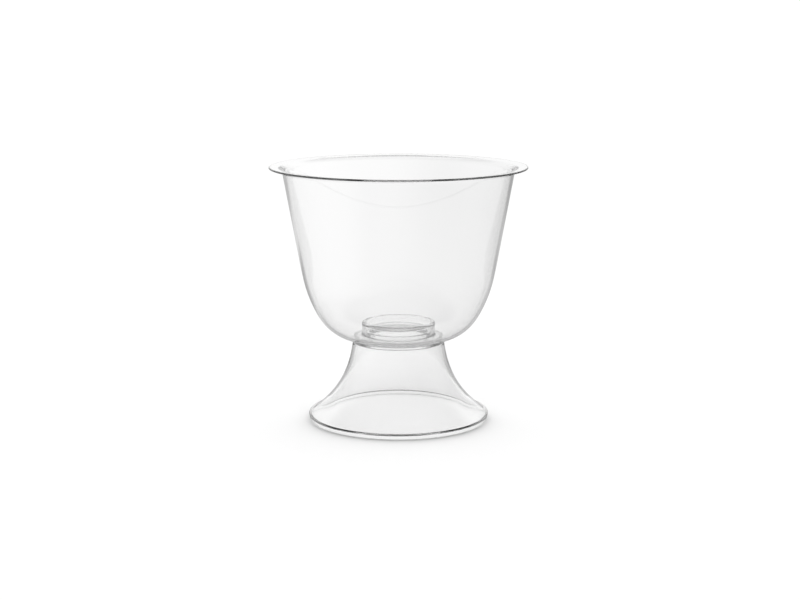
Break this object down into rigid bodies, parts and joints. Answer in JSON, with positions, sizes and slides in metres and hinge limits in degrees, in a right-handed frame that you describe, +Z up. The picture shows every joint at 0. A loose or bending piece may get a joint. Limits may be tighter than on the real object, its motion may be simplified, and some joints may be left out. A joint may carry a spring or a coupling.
{
  "type": "wine goblet",
  "caption": "Clear footed goblet: tapered round-bottomed bowl with a thin out-turned lip, pushed onto the tubular plug of a hollow trumpet pedestal by a closed socket in the bowl's floor.",
  "frame": {"origin": "centre of the foot's ring on the floor", "axes": "+Z up along the axis of turning, -Y towards the viewer of the picture"},
  "size_m": [0.1, 0.1, 0.0996],
  "materials": {
    "bowl": "clear, polished",
    "pedestal": "clear, polished"
  },
  "bodies": {
    "pedestal": {"pedestal": "pedestal"},
    "bowl": {"bowl": "bowl"}
  },
  "joints": [
    {"name": "bowl_lift", "type": "slide", "parent": "pedestal", "child": "bowl", "axis": [0, 0, 1], "range_m": [0, 0.03]}
  ]
}
